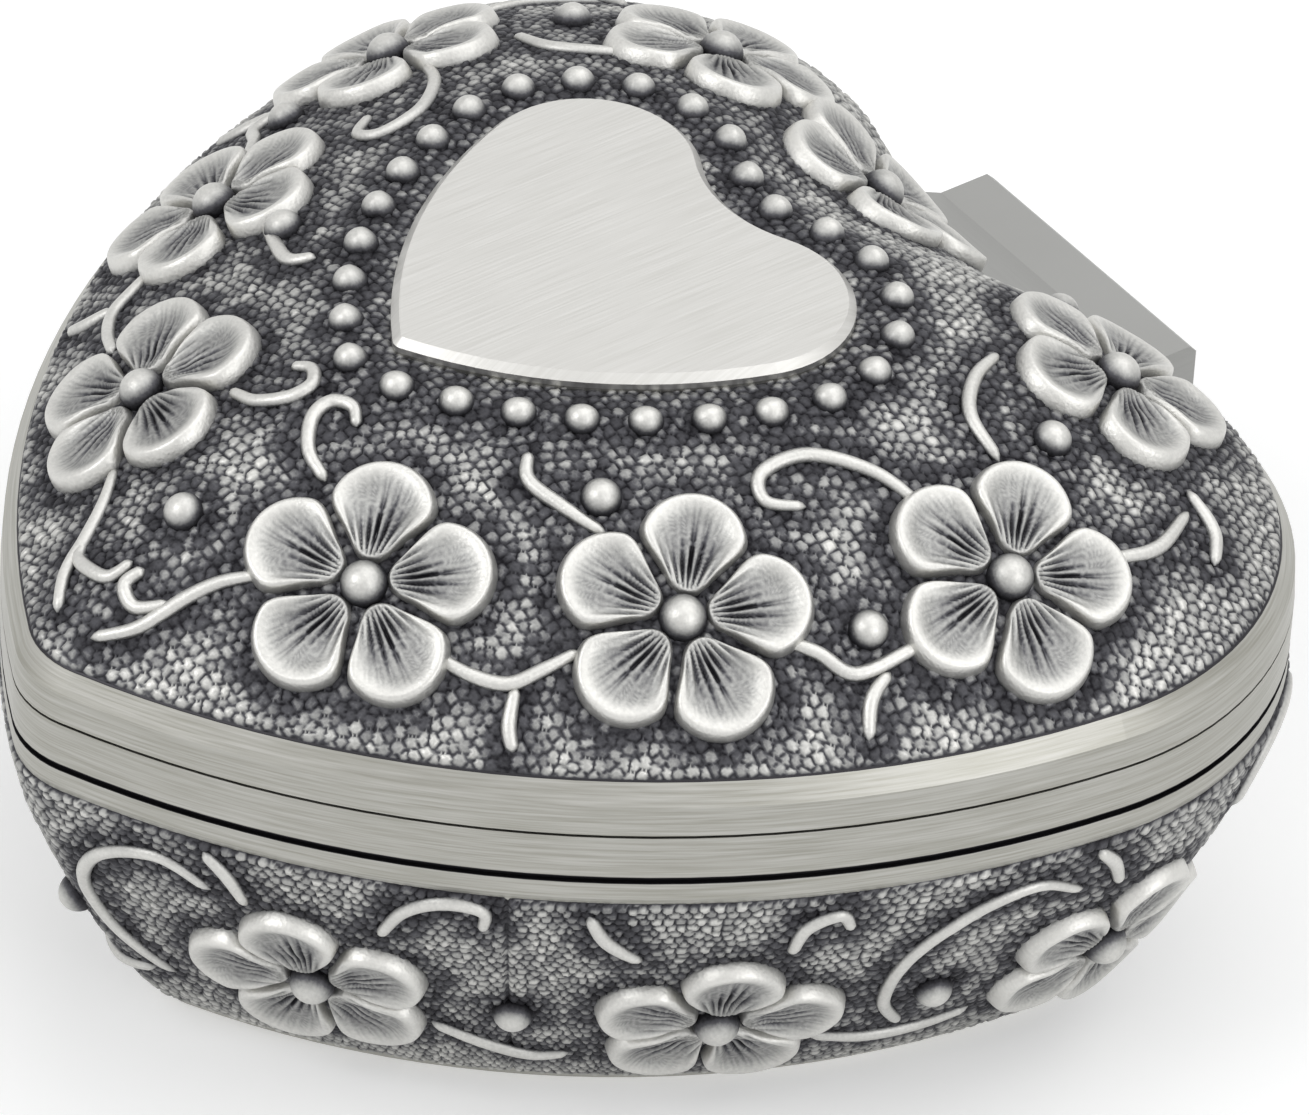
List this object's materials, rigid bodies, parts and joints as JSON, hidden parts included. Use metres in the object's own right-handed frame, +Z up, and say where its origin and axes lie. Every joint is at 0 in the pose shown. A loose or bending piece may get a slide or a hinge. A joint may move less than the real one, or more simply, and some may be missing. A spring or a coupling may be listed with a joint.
{
  "type": "wind-up music box",
  "caption": "Small heart-shaped cast box with a hinged domed lid over a wind-up musical movement that plays when the lid opens.",
  "frame": {"origin": "on the surface the box stands on, under the middle of its overall outline", "axes": "+Z up, X across the heart's two lobes, -Y towards the heart's tip, +Y towards the hinge"},
  "size_m": [0.084, 0.0832, 0.0468],
  "materials": {
    "cast_pewter": "antiqued pewter-coloured zinc casting, dark in the hollows and brushed on the high parts",
    "cast_zinc": "bare die-cast zinc, satin",
    "steel": "bright rolled steel",
    "spring_steel": "blued spring steel",
    "brass": "machined brass",
    "clear_plastic": "clear moulded plastic",
    "white_plastic": "moulded nylon"
  },
  "bodies": {
    "base": {"base_shell": "cast_pewter", "cover_plate": "clear_plastic", "bedplate": "cast_zinc", "floor_bush": "brass", "spring_housing": "steel", "housing_lid": "steel", "mainspring": "spring_steel", "spring_strap": "steel", "left_bearing": "steel", "right_bearing": "steel", "comb": "steel", "governor_frame": "steel", "stop_bracket": "steel", "lever_pivot": "steel", "stop_spring": "spring_steel", "frame_screws": "steel", "strap_screws": "steel", "comb_screws": "steel", "movement_screws": "steel"},
    "lid": {"lid_shell": "cast_pewter", "hinge_pin": "steel"},
    "winding": {"winding_arbor": "steel", "ratchet_wheel": "steel", "winding_key": "brass"},
    "drive": {"drive_gear": "white_plastic", "ratchet_click": "spring_steel"},
    "cylinder": {"cylinder_tube": "brass", "cylinder_caps": "brass", "cylinder_needles": "steel", "cylinder_arbor": "steel", "cylinder_pinion": "brass", "cylinder_gear": "brass"},
    "governor": {"governor_arbor": "steel", "governor_pinion": "brass", "governor_wheel": "white_plastic"},
    "fan": {"worm_shaft": "steel", "governor_fan": "brass"},
    "lever": {"stop_lever": "steel"},
    "pin": {"stop_pin": "white_plastic"}
  },
  "joints": [
    {"name": "lid_hinge", "type": "hinge", "parent": "base", "child": "lid", "pos_m": [0, 0.0383, 0.0265], "axis": [-1, 0, 0], "range_deg": [0, 95]},
    {"name": "key_turn", "type": "hinge", "parent": "base", "child": "winding", "pos_m": [-0.0115, 0.0085, 0.0072], "axis": [0, 0, 1], "range_deg": [0, 1440]},
    {"name": "cylinder_turn", "type": "hinge", "parent": "base", "child": "cylinder", "pos_m": [0.00075, 0.0085, 0.01797], "axis": [1, 0, 0], "continuous": true},
    {"name": "drive_gear_turn", "type": "hinge", "parent": "base", "child": "drive", "pos_m": [-0.0115, 0.0085, 0.0128], "axis": [0, 0, 1], "continuous": true},
    {"name": "governor_turn", "type": "hinge", "parent": "base", "child": "governor", "pos_m": [0.0217, 0.01717, 0.01797], "axis": [1, 0, 0], "continuous": true},
    {"name": "fan_turn", "type": "hinge", "parent": "base", "child": "fan", "pos_m": [0.0217, 0.02194, 0.01797], "axis": [0, 0, 1], "continuous": true},
    {"name": "stop_lever_tilt", "type": "hinge", "parent": "base", "child": "lever", "pos_m": [0.006, 0.0283, 0.0236], "axis": [0, -1, 0], "range_deg": [0, 9.01]},
    {"name": "stop_pin_slide", "type": "slide", "parent": "base", "child": "pin", "axis": [0, 0, 1], "range_m": [0, 0.00081]}
  ],
  "couplings": [
    {"joint": "drive_gear_turn", "follows": "cylinder_turn", "ratio": 0.33333},
    {"joint": "governor_turn", "follows": "cylinder_turn", "ratio": -4},
    {"joint": "fan_turn", "follows": "cylinder_turn", "ratio": 80},
    {"joint": "stop_lever_tilt", "follows": "lid_hinge", "ratio": 0.0947},
    {"joint": "stop_pin_slide", "follows": "lid_hinge", "m_per_rad": 0.000482}
  ]
}
